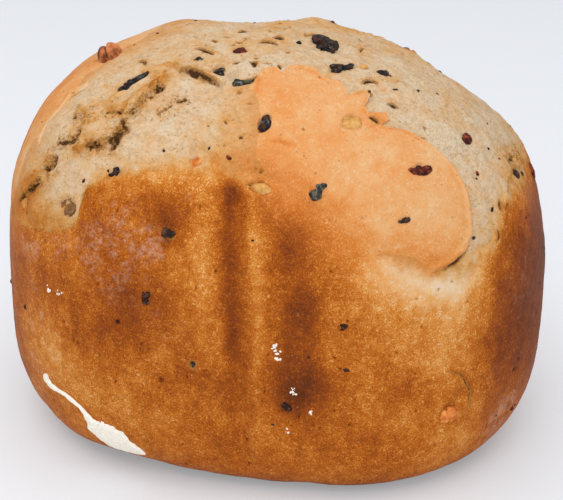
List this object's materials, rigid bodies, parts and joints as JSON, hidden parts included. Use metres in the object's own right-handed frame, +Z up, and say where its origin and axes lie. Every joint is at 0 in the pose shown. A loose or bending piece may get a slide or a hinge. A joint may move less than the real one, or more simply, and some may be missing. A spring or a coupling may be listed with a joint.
{
  "type": "loaf of bread",
  "caption": "Tall round-cornered loaf of bread baked in a bread machine's pan, with a torn top, a lifted skin and bits of olive, nut, tomato and onion in its crust.",
  "frame": {"origin": "middle of the underside of the loaf's box, on the surface it stands on", "axes": "+X along the loaf's length, to the right seen from the front; +Y to the back; +Z up"},
  "size_m": [0.1918, 0.1432, 0.1439],
  "materials": {
    "crumb": "soft, open and matte",
    "pan_crust": "dry, baked brown, faintly shiny",
    "base_crust": "dry, baked brown, matte",
    "torn_crust": "dry, torn, porous and matte",
    "dough_skin": "smooth, baked orange, low sheen",
    "shoulder_skin": "smooth, baked tan, low sheen",
    "flour": "dry powder, matte",
    "nut": "roasted, slightly oily",
    "olive": "dark, wrinkled, slightly oily",
    "tomato": "dried, wrinkled, slightly glossy",
    "onion": "baked, see-through looking, slightly glossy"
  },
  "bodies": {
    "root": {"base_crust": "base_crust", "crumb": "crumb", "flour_seam": "flour", "nut_back": "nut", "nut_foot_dimple": "nut", "nut_shoulder": "nut", "olive_angular_skin": "olive", "olive_back_top": "olive", "olive_back_wall": "olive", "olive_chip_skin": "olive", "olive_cluster_top": "olive", "olive_left_wall": "olive", "olive_long_top": "olive", "olive_right_edge": "olive", "olive_shoulder_front": "olive", "olive_slice_top": "olive", "olive_small_skin": "olive", "olive_strip_left": "olive", "olive_tear_left": "olive", "olive_top_left": "olive", "olive_top_middle": "olive", "olive_top_right": "olive", "olive_wall_foot": "olive", "olive_wall_left": "olive", "olive_wall_low": "olive", "olive_wall_right": "olive", "onion_back": "onion", "onion_front": "onion", "onion_skin": "onion", "onion_top": "onion", "shoulder_skin": "shoulder_skin", "skin_flap": "dough_skin", "tomato_back": "tomato", "tomato_curl_front": "tomato", "tomato_long_skin": "tomato", "tomato_right": "tomato", "tomato_right_edge": "tomato", "tomato_top": "tomato", "torn_crust": "torn_crust", "wall_crust": "pan_crust"}
  },
  "joints": []
}
